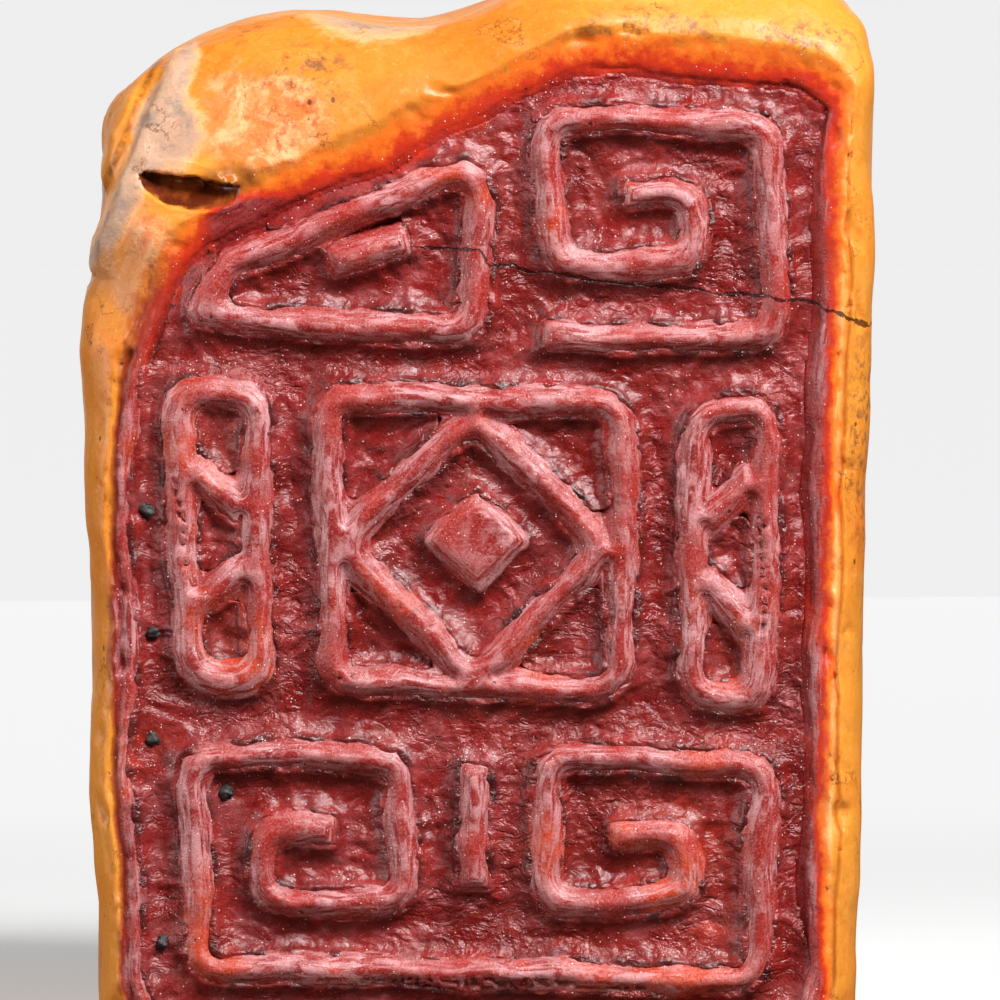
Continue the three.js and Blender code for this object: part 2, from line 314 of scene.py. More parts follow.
points = points_of(stone)
normals = normals_of(stone)
flat = on_face(points)
behind_face = points[:, 1] - face_y
inside = inside_face(points)
near_face = np.flatnonzero((behind_face < engraving_depth) & (inside > -rim_reach))
far_from_lines = -9.0
across = np.full(len(points), far_from_lines)
across[near_face] = into_lines(points[near_face])

# The lines' tops are worn round, they swell and narrow, and dents run along them.
line_half_width = 0.52
half_width = line_half_width + 0.08 * rough(flat, 2.1, 19)
worn = line_wear * (1 + 0.3 * rough(flat, 4, 33)) * (1 - np.clip(across / half_width, 0, 1)) ** 1.4
worn += 0.05 * (1 - rough(flat, 2.6, 7)) + 0.03 * (1 - rough(flat, 0.7, 8)) + 0.02 * ridged(flat, 0.9, 20)
fallen = np.maximum(points[:, 1], face_y + worn)
move = np.zeros_like(points)
move[near_face, 1] = (fallen - points[:, 1])[near_face]
engraved = step(0.2, 0.7, inside) * step(2.2, 1.4, behind_face)
walls = engraved * step(0.15, 0.4, behind_face)
line_swell = 0.1  # how far the lines stand out past the solid's sides
swell = line_swell + 0.07 * rough(flat, 2.3, 5) + 0.035 * rough(flat, 0.9, 6)
facet_depth = 0.06  # of the knife's small facets on the walls
scallops = facet_depth * walls * ridged(flat, 0.7, 29)
move += normals * (engraved * swell - scallops)[:, None]

# The engraving's edge.
edge_depth, edge_share = edge_slope(points)
open_ground = np.maximum(step(-0.2, -0.5, across), step(1, 0.8, inside)) * (behind_face < 1.9)
onto_slope = edge_share * open_ground * np.maximum(inside > 0, points[:, 1] < face_y + edge_depth)
move[:, 1] += onto_slope * (face_y + edge_depth - points[:, 1] - move[:, 1])

# The skin outside the engraving: broad hollows, small flats left by the polish, a grip end worn by
# handling, and a chipped edge.
skin = np.maximum(step(0, -1.2, inside), step(2, 4, behind_face))
hollows = 0.1 * rough(points, 13, 9) + 0.05 * rough(points, 4.5, 10) - 0.14 + 0.12 * step(13, 6, behind_face)
hollows += 0.12 * step(11, 14, points[:, 0])
end_wear = 0.35  # how deep handling wore the grip end
hollows += end_wear * step(46, 56, behind_face) * (rough(points, 12, 38) - 1)
flats = -0.02 * step(0.2, 0.9, ridged(points, 2.6, 11))
edge = step(0.9, 0.2, np.abs(inside + 0.2)) * step(2.5, 0.6, behind_face)
chip_depth = 0.25
crumble_depth = 0.05
chips = -chip_depth * edge * step(0.3, 0.85, rough(points, 1.1, 12))
chips -= crumble_depth * edge * step(0, 0.7, rough(points, 0.5, 13))
move += normals * (skin * (hollows + flats) + chips)[:, None]


# The broken shoulder: a pale ridge with a groove behind it, a chip below, and facets all over. A place
# on it is its middle (x, z), then its reach across and up.
def around(points, x, z, width, height):
    """1 at a place on the front, falling to 0 at that distance across and up from it."""
    return step(1, 0.35, np.hypot((points[:, 0] - x) / width, (points[:, 2] - z) / height))


def beside_path(points, path):
    """How far each point is from a path of (x, z) places, seen from the front, and on which side."""
    nearest = np.full(len(points), np.inf)
    side = np.zeros(len(points))
    spots = points[:, [0, 2]]
    for start, end in zip(path, path[1:]):
        run = np.subtract(end, start)
        arm = spots - start
        along = np.clip(arm @ run / (run @ run), 0, 1)
        gap = np.hypot(*(arm - along[:, None] * run).T)
        turned = np.sign(run[0] * arm[:, 1] - run[1] * arm[:, 0])
        closer = gap < nearest
        nearest = np.where(closer, gap, nearest)
        side = np.where(closer, turned, side)
    return nearest, side


ridge_height = 0.2
groove_depth = 0.34
groove_gap = 0.75  # from the ridge to the groove's middle
big_chip_place = (-13.6, 30.1, 1.7, 2.6)
big_chip_depth = 0.45
saddle_place = (-2.6, 41.6, 5.2, 2.6)
saddle_depth = 0.45
shoulder_place = (-10, 38, 8, 6)
ridge_path = [(-11.4, 38.9), (-12.2, 37.2), (-12.9, 35.3), (-13.8, 33.2), (-14.7, 31)]
ridge_gap, ridge_side = beside_path(points, ridge_path)
front = step(9, 4, behind_face)
ridge_gap += 0.15 * rough(points, 1, 30)
cut = groove_depth * step(0.5, 0, np.abs(ridge_gap - groove_gap)) * (ridge_side < 0)
raised = ridge_height * step(0.7, 0, ridge_gap) - cut
chip = around(points, *big_chip_place) * front
shoulder = around(points, *shoulder_place) * step(0.2, -0.4, inside) * step(14, 8, behind_face)
facets = 0.1 * ridged(points, 3.1, 17) + 0.06 * ridged(points, 1.3, 18) + 0.03 * ridged(points, 0.6, 35)
saddle = around(points, *saddle_place) * step(30, 16, behind_face)
change = raised * front - big_chip_depth * chip - saddle_depth * saddle - shoulder * facets
move += normals * change[:, None]

# The hollow is a scoop: a nearly straight, sharp upper rim, and a floor that runs out gently below it.
hollow_place = np.array([-11.06, -28.1, 33.93])
hollow_size = np.array([2.0, 2.3, 0.9])
hollow_depth = 1.25
rim_up = 0.44  # the rim's height over the hollow's middle, as a share of its size
rim_tilt = 0.19  # how much it falls to the right
rim_bend = 0.12  # and towards both ends
mouth_height = 1.45  # from the lower edge to the rim, in the same way


def scoop(points):
    """Where a point lies in the hollow's mouth: from 0 on its lower edge to 1 at its rim, or less than 0
    outside it; and the mouth's height there, as a share of its height in the middle."""
    aside, _, up = ((points - hollow_place) / hollow_size).T
    wander = 0.09 * rough(on_face(points), 0.9, 34) + 0.05 * rough(on_face(points), 0.35, 36)
    rim = rim_up - rim_tilt * aside - rim_bend * aside ** 2 + wander
    height = np.sqrt(np.clip(1 - aside ** 2, 0.0001, 1))
    rise = 1 - (rim - up) / (mouth_height * height)
    return np.where((rise > 0) & (rise < 1) & (np.abs(aside) < 1), rise, -1), height


arm = (points - hollow_place) / hollow_size
reach = np.hypot(arm[:, 0], arm[:, 2])
ring_inner = 1.15  # a ring of skin round the hollow, in the hollow's sizes, gives the skin that
ring_outer = 1.45  # would close it, and the floor is sunk from there
ring = (reach > ring_inner) & (reach < ring_outer) & (behind_face < 4)
aside, up = arm[:, 0], arm[:, 2]
bowl = np.stack([np.ones(len(points)), aside, up, aside ** 2, aside * up, up ** 2], axis=1)
moved_y = points[:, 1] + move[:, 1]
skin_fit = np.linalg.lstsq(bowl[ring], moved_y[ring], rcond=None)[0]
rise, height = scoop(points)
floor_depth = hollow_depth * height * np.clip(rise, 0, 1) ** 0.9 * step(1, 0.86, rise)
floor_depth = np.where(rise > 0, floor_depth, 0)
mended = step(1.4, 1.08, reach) * (behind_face < 6)
move[:, 1] += mended * (bowl @ skin_fit + floor_depth - moved_y)

put_points(stone, points + move + hand_warp(points))
thinned(stone, stone_triangles)

points = points_of(stone)
low, high = (np.array(corner) * per_metre for corner in (cad_low, cad_high))
put_points(stone, np.clip(points, low + within_cad, high - within_cad) / per_metre)
inside = inside_face(points)
behind_face = points[:, 1] - face_y


depth_kept = 2.0  # past this, how far a point lies from a line makes no difference


def line_depths(points):
    """into_lines for points that the hand has already moved."""
    return np.clip(into_lines(points - hand_warp(points)), -depth_kept, depth_kept)


near_face = np.flatnonzero((behind_face < engraving_depth) & (inside > -rim_reach))
across = np.full(len(points), -depth_kept)
across[near_face] = line_depths(points[near_face])
put_value(stone, "across", across)

# Where the paste and its red oil have reached: over the whole engraving, the rim on the left, and up the
# worn edge at the top, where the stone turns from red to orange and then to its own yellow.
below_hollow = (-8.6, 32.6, 2.4, 1.5)


def stained(points):
    """How far the paste's red has taken the stone over, from 0 to 1, seen from the front."""
    spread = inside_face(points) + 0.18 * rough(points, 3.4, 14) + 0.1 * rough(points, 0.8, 15)
    first = by_side(points, -0.35, -0.35, -0.2, -0.75)
    full = by_side(points, 0.15, 0.2, 0.8, 1.8)
    beside_hollow = 0.6 * around(points, *below_hollow)
    return np.clip((spread - first) / (full - first) + beside_hollow, 0, 1)


crack_path = [(-2.7, 31.6), (0.1, 31.5), (0.5, 30.9), (6, 30.2), (12.3, 29.6), (15.6, 28.4)]


def crack_gap(points):
    """How far each point is from the hair crack that crosses the face: less than 0 below it."""
    gap, side = beside_path(points, crack_path)
    return np.clip(gap * side, -1, 1)


def crack_there(points):
    """1 where the crack runs, falling to 0 past its left end and behind the face."""
    start = crack_path[0][0]
    return step(start, start + 0.6, points[:, 0]) * step(3.5, 1.8, points[:, 1] - face_y)


put_value(stone, "pasted", stained(points) * step(3.6, 1.6, behind_face))
put_value(stone, "crack_gap", crack_gap(points))
put_value(stone, "crack_there", crack_there(points))
# A painted highlight along the ridge at the face's rim, strongest on the right, where the main light falls.
ridge_highlight = step(0.3, 0, np.abs(inside - 0.05)) * by_side(points, 0, 0.2, 1, 0.3) * step(1, 0.4, behind_face)
put_value(stone, "ridge_highlight", ridge_highlight)

# The natural marks on the broken shoulder: grey-white rind, brown in the hollow and on the chip.
front = step(12, 7, behind_face)
ridge_gap, ridge_side = beside_path(points, ridge_path)
rind_patch = (-11.8, 36, 1.9, 2.1)
rind_on_crest = (-4, 40.6, 3.6, 1.6)
rind = around(points, *rind_patch) + 0.8 * around(points, *rind_on_crest)
rind += step(1.1, 0.3, np.where(ridge_side < 0, ridge_gap + 0.4, ridge_gap))
put_value(stone, "rind", np.clip(rind, 0, 1) * front * step(0.1, -0.4, inside))
rise = scoop(points - hand_warp(points))[0]
hollow = step(0, 0.1, rise) * (0.65 + 0.35 * np.clip(rise, 0, 1))
brown_place = (hollow_place[0] + 1.7, hollow_place[2] + 0.3, 2.1, 1.2)
hollow = np.maximum(hollow, 0.5 * around(points, *brown_place)) * step(7, 6, behind_face)
groove = 0.55 * step(0.4, 0, np.abs(ridge_gap - groove_gap)) * (ridge_side < 0) * front
put_value(stone, "hollow", np.maximum(hollow, groove))
soil_places = [(6.6, 40, 4, 1.1), (12.6, 39.6, 3, 0.9), (-6.4, 38.3, 2.4, 1.6), (14.8, 24, 1, 6)]
faint_soil = (-14, 26.5, 1.6, 7)
soil = sum(around(points, *where) for where in soil_places) + 0.15 * around(points, *faint_soil)
put_value(stone, "soil", np.clip(soil, 0, 1) * front)
blush_patch = (-8.2, 36.4, 3.8, 2.6)
faint_blush = (-12.6, 31.5, 1.6, 2)
blush = around(points, *blush_patch) + 0.8 * around(points, *faint_blush)
put_value(stone, "blush", np.clip(blush, 0, 1) * front)
chip_marks = (-13.7, 29.9, 1.8, 2.9)
put_value(stone, "chip", around(points, *chip_marks) * front)


# The stone, its finish.
# Golden stone with orange clouds, a grey-white rind on the broken shoulder, fine dark pits and a waxy
# polish. Over the engraving it is stained and coated by years of red seal paste.
def colour(red, green, blue):
    """A colour as it is named on a screen, 0 to 255, for a shader."""
    shares = [c / 255 for c in (red, green, blue)]
    linear = [s / 12.92 if s <= 0.04045 else ((s + 0.055) / 1.055) ** 2.4 for s in shares]
    return (*linear, 1)


class Tree:
    """Short ways to lay out shader nodes in a material or a group."""

    def __init__(self, nodes):
        self.nodes = nodes

    def add(self, kind, **settings):
        node = self.nodes.nodes.new(kind)
        for name, value in settings.items():
            setattr(node, name, value)
        return node

    def join(self, source, socket):
        """Links another node's output to the socket, or sets a constant on it."""
        if isinstance(source, bpy.types.NodeSocket):
            self.nodes.links.new(source, socket)
        else:
            socket.default_value = source

    def millimetres(self):
        place = self.add("ShaderNodeTexCoord")
        scale = self.add("ShaderNodeVectorMath", operation="SCALE")
        self.join(place.outputs["Object"], scale.inputs[0])
        scale.inputs["Scale"].default_value = per_metre
        return scale.outputs[0]

    def math(self, operation, first, second=0.0, third=0.0, clamp=False):
        node = self.add("ShaderNodeMath", operation=operation, use_clamp=clamp)
        for value, socket in zip((first, second, third), node.inputs):
            self.join(value, socket)
        return node.outputs[0]

    def ramp(self, value, low, high, floor=0.0, top=1.0):
        """Floor where the value is at low, top where it is at high, and smooth between."""
        node = self.add("ShaderNodeMapRange", interpolation_type="SMOOTHSTEP")
        self.join(value, node.inputs["Value"])
        for name, end in (("From Min", low), ("From Max", high), ("To Min", floor), ("To Max", top)):
            self.join(end, node.inputs[name])
        return node.outputs["Result"]

    def noise(self, place, size, detail=3.0, roughness=0.55, distortion=0.0):
        node = self.add("ShaderNodeTexNoise")
        self.join(place, node.inputs["Vector"])
        node.inputs["Scale"].default_value = 1 / size
        node.inputs["Detail"].default_value = detail
        node.inputs["Roughness"].default_value = roughness
        node.inputs["Distortion"].default_value = distortion
        return node.outputs["Fac"]

    def cells(self, place, size):
        """Scattered points about that far apart: the distance to the nearest, and a colour for each."""
        node = self.add("ShaderNodeTexVoronoi")
        self.join(place, node.inputs["Vector"])
        node.inputs["Scale"].default_value = 1 / size
        return node.outputs

    def stretched(self, place, x, y, z, turn=0.0):
        """The place with each axis scaled and turned about y, so that what is read there has a grain."""
        node = self.add("ShaderNodeMapping")
        self.join(place, node.inputs["Vector"])
        node.inputs["Scale"].default_value = (x, y, z)
        node.inputs["Rotation"].default_value = (0, turn, 0)
        return node.outputs[0]

    def blend(self, share, under, over):
        """Mixes two colours. The node's colour inputs are 6 and 7, and its colour output is 2."""
        node = self.add("ShaderNodeMix", data_type="RGBA")
        self.join(share, node.inputs["Factor"])
        self.join(under, node.inputs[6])
        self.join(over, node.inputs[7])
        return node.outputs[2]

    def read(self, name):
        """What put_value kept under that name."""
        node = self.add("ShaderNodeAttribute", attribute_name=name)
        return node.outputs["Fac"]

    def parts(self, vector):
        node = self.add("ShaderNodeSeparateXYZ")
        self.join(vector, node.inputs[0])
        return node.outputs

    def raise_by(self, height, shader):
        """Shows heights in millimetres on the shader's surface."""
        node = self.add("ShaderNodeBump")
        node.inputs["Distance"].default_value = 1 / per_metre
        self.join(height, node.inputs["Height"])
        self.join(node.outputs[0], shader.inputs["Normal"])

    def use(self, group, **values):
        node = self.add("ShaderNodeGroup", node_tree=group)
        for name, value in values.items():
            self.join(value, node.inputs[name.replace("_", " ")])
        return node.outputs


def new_group(name, ins, outs):
    """A shader group with those inputs and outputs, and its layout."""
    group = bpy.data.node_groups.new(name, "ShaderNodeTree")
    for label, kind, value in ins:
        socket = group.interface.new_socket(label, in_out="INPUT", socket_type="NodeSocket" + kind)
        if value is not None:
            socket.default_value = value
    for label, kind in outs:
        group.interface.new_socket(label, in_out="OUTPUT", socket_type="NodeSocket" + kind)
    tree = Tree(group)
    given = tree.add("NodeGroupInput").outputs
    made = tree.add("NodeGroupOutput").inputs
    return group, tree, given, made


def new_material(name):
    """A material with its one shader, and its layout."""
    material = bpy.data.materials.new(name)
    material.use_nodes = True
    tree = Tree(material.node_tree)
    shader = material.node_tree.nodes["Principled BSDF"]
    return material, tree, shader


# Dried seal paste, as a thin coat on the lines and as cakes in the ground: maroon where it lies thick,
# red where the light comes through, with a pinkish bloom that is partly painted sheen, and a fine grain all
# over.
paste_coat, tree, given, made = new_group(
    "paste coat",
    [("Across", "Float", 0.0), ("Thickness", "Float", 0.5), ("Glow", "Float", 0.0), ("Bloom", "Float", 0.5)],
    [("Color", "Color"), ("Roughness", "Float"), ("Height", "Float")],
)
place = tree.millimetres()
clouds = tree.noise(place, 3.2, 4, 0.6)
mottle = tree.noise(place, 0.7, 4, 0.65)
grain = tree.noise(place, 0.08, 3, 0.7)
x, _, z = tree.parts(place)
beside_edge = tree.add("ShaderNodeCombineXYZ")
near_edge = tree.math("MINIMUM", given["Across"], 0.4)
for socket, value, scale in zip(beside_edge.inputs, (x, near_edge, z), (0.9, 6, 0.9)):
    tree.join(tree.math("MULTIPLY", value, scale), socket)
scratches = tree.noise(beside_edge.outputs[0], 1, 4, 0.65, 0.6)
thick = tree.math("ADD", given["Thickness"], tree.math("MULTIPLY_ADD", mottle, 0.9, -0.45), clamp=True)
red = tree.blend(tree.ramp(clouds, 0.35, 0.65), colour(162, 48, 42), colour(136, 42, 43))
maroon = tree.blend(tree.ramp(clouds, 0.35, 0.65), colour(108, 11, 9), colour(134, 28, 27))
body = tree.blend(thick, red, maroon)
worn_dark = tree.ramp(tree.noise(place, 2.1, 4, 0.65), 0.56, 0.74, 0, 0.5)
body = tree.blend(worn_dark, body, colour(88, 18, 15))
lit = tree.math("ADD", given["Glow"], tree.math("MULTIPLY_ADD", mottle, 0.5, -0.25), clamp=True)
body = tree.blend(tree.ramp(lit, 0.15, 0.5), body, colour(190, 40, 20))
body = tree.blend(tree.ramp(lit, 0.6, 1.2), body, colour(216, 84, 32))
warm = tree.math("MULTIPLY", tree.ramp(tree.noise(place, 5, 4, 0.6), 0.52, 0.66), given["Bloom"])
body = tree.blend(warm, body, colour(190, 66, 30))
# Painted sheen: a pale pinkish haze in streaks along the lines, partly dust bloom, mostly on the lines'
# tops.
bloom_and_sheen = tree.math("MULTIPLY", tree.ramp(scratches, 0.4, 0.62), tree.ramp(clouds, 0.35, 0.62, 0.15, 1.3))
bloom_and_sheen = tree.math("MULTIPLY", bloom_and_sheen, given["Bloom"], clamp=True)
body = tree.blend(bloom_and_sheen, body, colour(196, 140, 142))
body = tree.blend(tree.ramp(grain, 0.5, 0.3, 0, 0.45), body, colour(60, 8, 8))
pale_grain = tree.math("MULTIPLY", tree.ramp(grain, 0.52, 0.75), given["Bloom"])
body = tree.blend(pale_grain, body, colour(200, 118, 110))
tree.join(body, made["Color"])
gloss = tree.ramp(tree.noise(place, 1.1, 3), 0.35, 0.7, 0.17, 0.34)
tree.join(tree.math("MULTIPLY_ADD", tree.ramp(grain, 0.4, 0.7), 0.1, gloss), made["Roughness"])
creases = tree.noise(tree.stretched(place, 1, 1, 1.6, 0.5), 0.5, 4, 0.6, 0.6)
height = tree.math("MULTIPLY", creases, 0.055)
height = tree.math("MULTIPLY_ADD", scratches, 0.025, height)
height = tree.math("MULTIPLY_ADD", grain, 0.014, height)
tree.join(height, made["Height"])

# The red oil's way into the stone: yellow turns to orange, to bright red, and last to the paste's own
# colour. On the left edge the same colours are browner.
oil_stain, tree, given, made = new_group(
    "oil stain",
    [("Stain", "Float", 0.5), ("Stone", "Color", None), ("Paste", "Color", None)],
    [("Color", "Color")],
)
place = tree.millimetres()
ragged = tree.math("MULTIPLY_ADD", tree.noise(place, 0.7, 6, 0.72), 0.8, -0.4)
stain = tree.math("ADD", given["Stain"], tree.math("MULTIPLY", ragged, tree.ramp(given["Stain"], 0, 0.15)))
dull = tree.ramp(tree.parts(place)[0], -11, -12.8, 0, 0.85)
orange = tree.blend(dull, colour(232, 114, 32), colour(150, 78, 32))
bright_red = tree.blend(dull, colour(192, 48, 22), colour(118, 36, 24))
body = tree.blend(tree.ramp(stain, 0.02, 0.3), given["Stone"], orange)
body = tree.blend(tree.ramp(stain, 0.25, 0.55), body, bright_red)
body = tree.blend(tree.ramp(stain, 0.5, 0.85), body, given["Paste"])
tree.join(body, made["Color"])

# Dust: pale specks that settled in the sticky paste.
dust_colour = colour(232, 196, 192)
dust, tree, given, made = new_group(
    "dust", [("Amount", "Float", 0.5)], [("Mask", "Float"), ("Height", "Float")]
)
place = tree.millimetres()
specks = tree.cells(place, 0.125)
chance = tree.parts(specks["Color"])
size = tree.math("MULTIPLY_ADD", tree.math("POWER", chance[1], 4), 0.24, 0.07)
near = tree.ramp(tree.math("SUBTRACT", size, specks["Distance"]), 0, 0.05)
there = tree.math("LESS_THAN", chance[0], given["Amount"])
tree.join(tree.math("MULTIPLY", near, there), made["Mask"])
tree.join(tree.math("MULTIPLY", near, tree.math("MULTIPLY", there, 0.03)), made["Height"])

# Black pits and scratches in the polished skin.
pits, tree, given, made = new_group(
    "pits", [("Amount", "Float", 0.3)], [("Mask", "Float"), ("Height", "Float")]
)
place = tree.millimetres()
holes = tree.cells(tree.stretched(place, 1, 1, 0.7), 0.6)
chance = tree.parts(holes["Color"])
size = tree.math("MULTIPLY", tree.math("POWER", chance[1], 2), 0.16)
near = tree.ramp(tree.math("SUBTRACT", size, holes["Distance"]), -0.02, 0.05)
gathered = tree.math("MULTIPLY", given["Amount"], tree.ramp(tree.noise(place, 6), 0.4, 0.65, 0.25, 1.6))
there = tree.math("LESS_THAN", chance[0], gathered)
flecks = tree.math("MULTIPLY", tree.ramp(tree.noise(place, 0.2, 4, 0.75), 0.62, 0.71), gathered)
mask = tree.math("MULTIPLY", near, there)
tree.join(tree.math("MAXIMUM", mask, flecks), made["Mask"])
tree.join(tree.math("MULTIPLY", mask, -0.03), made["Height"])

# A hair crack, which wanders a little and closes here and there.
hair_crack, tree, given, made = new_group(
    "hair crack", [("Gap", "Float", 1.0), ("There", "Float", 0.0)], [("Mask", "Float")]
)
place = tree.millimetres()
wander = tree.math("MULTIPLY_ADD", tree.noise(place, 1.2, 5, 0.65), 0.7, -0.35)
gap = tree.math("ABSOLUTE", tree.math("ADD", given["Gap"], wander))
width = tree.ramp(tree.noise(place, 1.5, 2), 0.35, 0.65, 0.015, 0.07)
mask = tree.ramp(tree.math("SUBTRACT", gap, width), 0.03, 0)
tree.join(tree.math("MULTIPLY", mask, given["There"]), made["Mask"])

stone_finish, tree, shader = new_material("carved stone")
place = tree.millimetres()
x, y, _ = tree.parts(place)
clouds = tree.noise(place, 9, 4, 0.55, 0.4)
wisps = tree.noise(tree.stretched(place, 1, 0.5, 1.4), 2.6, 5, 0.6, 0.8)
fine = tree.noise(place, 0.5, 5, 0.65)
ragged = tree.math("MULTIPLY_ADD", fine, 0.8, -0.4)
golden = tree.blend(tree.ramp(clouds, 0.35, 0.68), colour(214, 136, 44), colour(200, 108, 26))
golden = tree.blend(tree.ramp(wisps, 0.52, 0.75, 0, 0.45), golden, colour(220, 150, 74))
golden = tree.blend(tree.ramp(wisps, 0.42, 0.2, 0, 0.5), golden, colour(188, 92, 28))
golden = tree.blend(tree.ramp(fine, 0.35, 0.7, 0, 0.15), golden, colour(222, 156, 80))
broad = tree.math("MULTIPLY_ADD", tree.noise(place, 2.2, 4, 0.65), 1.6, -0.8)
crumbly = tree.math("MULTIPLY_ADD", ragged, 0.4, broad)
blush = tree.ramp(tree.math("ADD", tree.read("blush"), crumbly), 0.15, 0.8, 0, 0.85)
flakes = tree.noise(place, 1.2, 6, 0.7, 0.4)
blush_body = tree.blend(tree.ramp(flakes, 0.42, 0.6), colour(212, 118, 60), colour(228, 168, 118))
golden = tree.blend(blush, golden, blush_body)
veins = tree.math("ABSOLUTE", tree.math("SUBTRACT", tree.noise(place, 1.9, 4, 0.6, 0.3), 0.5))
veined = tree.ramp(tree.noise(place, 1.3, 3), 0.47, 0.6, 0, 0.8)
veins = tree.math("MULTIPLY", tree.ramp(veins, 0.05, 0), veined)
golden = tree.blend(tree.math("MULTIPLY", veins, blush), golden, colour(190, 70, 26))
bleached = tree.math("ADD", tree.math("MULTIPLY_ADD", broad, 0.5, tree.read("rind")), ragged)
golden = tree.blend(tree.ramp(bleached, 0.1, 0.5), golden, colour(226, 160, 104))
rind = tree.ramp(bleached, 0.35, 0.95)
rind_patches = tree.ramp(tree.noise(place, 0.9, 4, 0.6), 0.45, 0.7)
rind_body = tree.blend(rind_patches, colour(186, 148, 122), colour(142, 122, 110))
golden = tree.blend(rind, golden, rind_body)
chip = tree.ramp(tree.math("ADD", tree.read("chip"), ragged), 0.35, 0.8, 0, 0.8)
golden = tree.blend(chip, golden, colour(188, 116, 46))
# The painted highlight along the rim's ridge.
golden = tree.blend(tree.math("MULTIPLY", tree.read("ridge_highlight"), 0.6), golden, colour(236, 196, 140))
grit = tree.noise(place, 0.16, 4, 0.7)
golden = tree.blend(tree.ramp(grit, 0.54, 0.7, 0, 0.4), golden, colour(150, 84, 34))
golden = tree.blend(tree.ramp(grit, 0.42, 0.3, 0, 0.3), golden, colour(236, 184, 116))
hairs = tree.math("ABSOLUTE", tree.math("SUBTRACT", tree.noise(place, 4, 6, 0.6), 0.5))
haired = tree.ramp(tree.noise(place, 2, 3), 0.48, 0.6, 0, 0.8)
hairs = tree.math("MULTIPLY", tree.ramp(hairs, 0.009, 0), haired)
golden = tree.blend(hairs, golden, colour(120, 66, 34))
soil_specks = tree.ramp(tree.noise(place, 0.45, 5, 0.75), 0.47, 0.63, 0, 0.85)
soil = tree.math("MULTIPLY", tree.read("soil"), soil_specks)
golden = tree.blend(soil, golden, colour(116, 72, 46))
pasted = tree.read("pasted")
patches = tree.ramp(tree.noise(place, 5, 3), 0.48, 0.75)
below_top = tree.ramp(y, face_y + 0.2, face_y + 0.5)
above_foot = tree.ramp(y, face_y + 1, face_y + 0.65)
walls = tree.math("MULTIPLY", below_top, above_foot)
lit_walls = tree.math("MULTIPLY", walls, tree.ramp(x, -13.3, -12.3))
coat = tree.use(
    paste_coat,
    Across=tree.read("across"),
    Thickness=tree.ramp(y, face_y + 0.2, face_y + 0.85, 0.2, 0.95),
    Glow=tree.math("MULTIPLY", lit_walls, tree.math("MULTIPLY_ADD", patches, 0.3, 0.18)),
    # the share of pale bloom and painted sheen, highest on the lines' tops
    Bloom=tree.ramp(y, face_y + 0.7, face_y + 0.2, 0.05, 0.75),
)
body = tree.use(oil_stain, Stain=pasted, Stone=golden, Paste=coat["Color"])["Color"]
deep = tree.ramp(tree.math("ADD", tree.read("hollow"), tree.math("MULTIPLY", ragged, 0.4)), 0.25, 0.7)
hollow_body = tree.blend(tree.ramp(flakes, 0.4, 0.62), colour(84, 30, 10), colour(132, 60, 22))
body = tree.blend(deep, body, hollow_body)
pitted = tree.use(pits, Amount=tree.math("MULTIPLY_ADD", pasted, -0.5, 0.8))
body = tree.blend(tree.math("MULTIPLY", pitted["Mask"], 0.75), body, colour(70, 42, 24))
crack = tree.use(hair_crack, Gap=tree.read("crack_gap"), There=tree.read("crack_there"))["Mask"]
body = tree.blend(tree.math("MULTIPLY", crack, 0.85), body, colour(52, 12, 8))
drifts = tree.ramp(tree.noise(place, 3.5, 3), 0.38, 0.65, 0.25, 0.9)
specks = tree.use(dust, Amount=tree.math("MULTIPLY", pasted, drifts))
body = tree.blend(tree.math("MULTIPLY", specks["Mask"], 0.85), body, dust_colour)
tree.join(body, shader.inputs["Base Color"])
bare_gloss = tree.ramp(tree.noise(place, 1.6, 3), 0.35, 0.7, 0.32, 0.5)
coated = tree.ramp(pasted, 0.4, 0.8)
gloss = tree.ramp(coated, 0, 1, bare_gloss, coat["Roughness"])
tree.join(tree.math("MULTIPLY_ADD", deep, -0.1, gloss, clamp=True), shader.inputs["Roughness"])
skin_height = tree.math("MULTIPLY_ADD", grit, 0.012, tree.math("MULTIPLY", fine, 0.02))
crust = tree.math("MULTIPLY", tree.math("MAXIMUM", blush, rind), tree.noise(place, 0.35, 4, 0.7))
height = tree.math("MULTIPLY_ADD", crust, 0.06, tree.math("ADD", skin_height, pitted["Height"]))
height = tree.math("MULTIPLY_ADD", crack, -0.05, height)
height = tree.math("ADD", height, specks["Height"])
height = tree.math("MULTIPLY_ADD", coat["Height"], tree.math("MULTIPLY", coated, 0.8), height)
tree.raise_by(height, shader)
shader.inputs["Specular IOR Level"].default_value = 0.3
shader.inputs["Subsurface Weight"].default_value = 0.2
shader.inputs["Subsurface Radius"].default_value = (1.0, 0.4, 0.15)
shader.inputs["Subsurface Scale"].default_value = 0.0012
dress(stone, "stone_body", stone_finish)

# The dried seal paste.
# Oily red paste that was pressed into the ground over years and dried there in cakes. It stands a little
# up the walls of the lines, and its skin is wrinkled and half glossy.
paste_base = -27.95  # the ground that it lies on
paste_root = 0.25  # how far a cake's back is set into the stone
cake_growth = 0.75  # from the bare strip's edge into the walls
paste_thickness = 0.22
thinnest = 0.04
thickest = 0.85
up_the_walls = 0.4  # how far the paste stands up the lines' walls
under_slope = 0.12  # how far it stays below the engraving's sloping edge
paste_grain = 0.1


def foot_of_wall(depths):
    """How near a point on the ground is to a line's wall: 1 at its foot, falling away to 0."""
    return np.exp(-np.clip(-depths - 0.2, 0, None) / 0.25)


